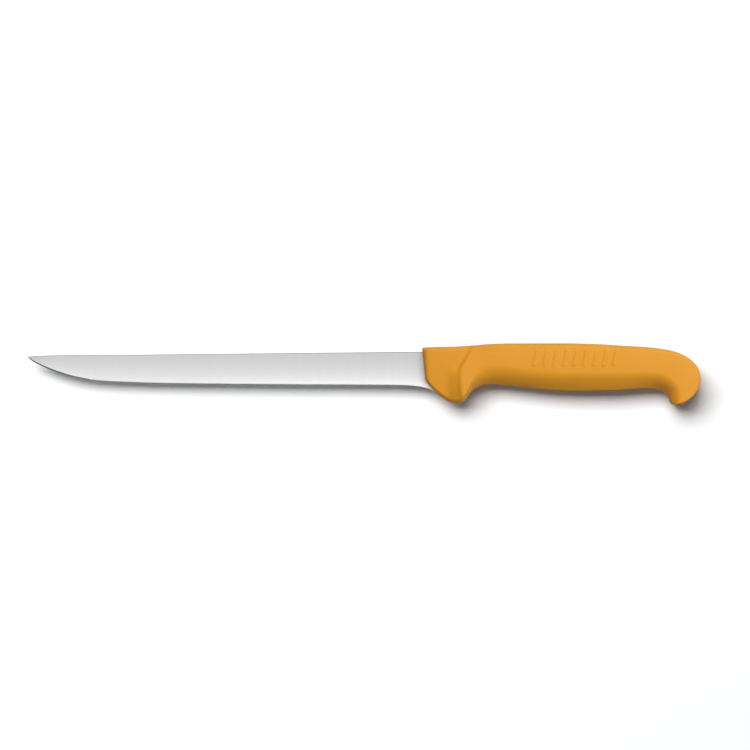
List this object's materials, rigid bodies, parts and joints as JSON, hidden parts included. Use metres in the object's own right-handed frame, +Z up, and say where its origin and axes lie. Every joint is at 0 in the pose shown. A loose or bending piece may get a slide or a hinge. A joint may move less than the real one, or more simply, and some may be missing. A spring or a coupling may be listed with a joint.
{
  "type": "fillet knife",
  "caption": "Long slim fillet knife with a tapered steel blade and a moulded plastic handle with finger guard, slanted grip bars and hooked butt, lying on its side.",
  "frame": {"origin": "under the middle of the knife's length and depth, on the surface it lies on", "axes": "+X from the blade's tip to the butt of the handle, +Y from the cutting edge to the spine, +Z up from the surface, square to the blade's side"},
  "size_m": [0.341, 0.0312, 0.0211],
  "materials": {
    "blade_steel": "fine satin grind",
    "handle_plastic": "fine matt moulded surface"
  },
  "bodies": {
    "root": {"blade": "blade_steel", "handle": "handle_plastic"}
  },
  "joints": []
}
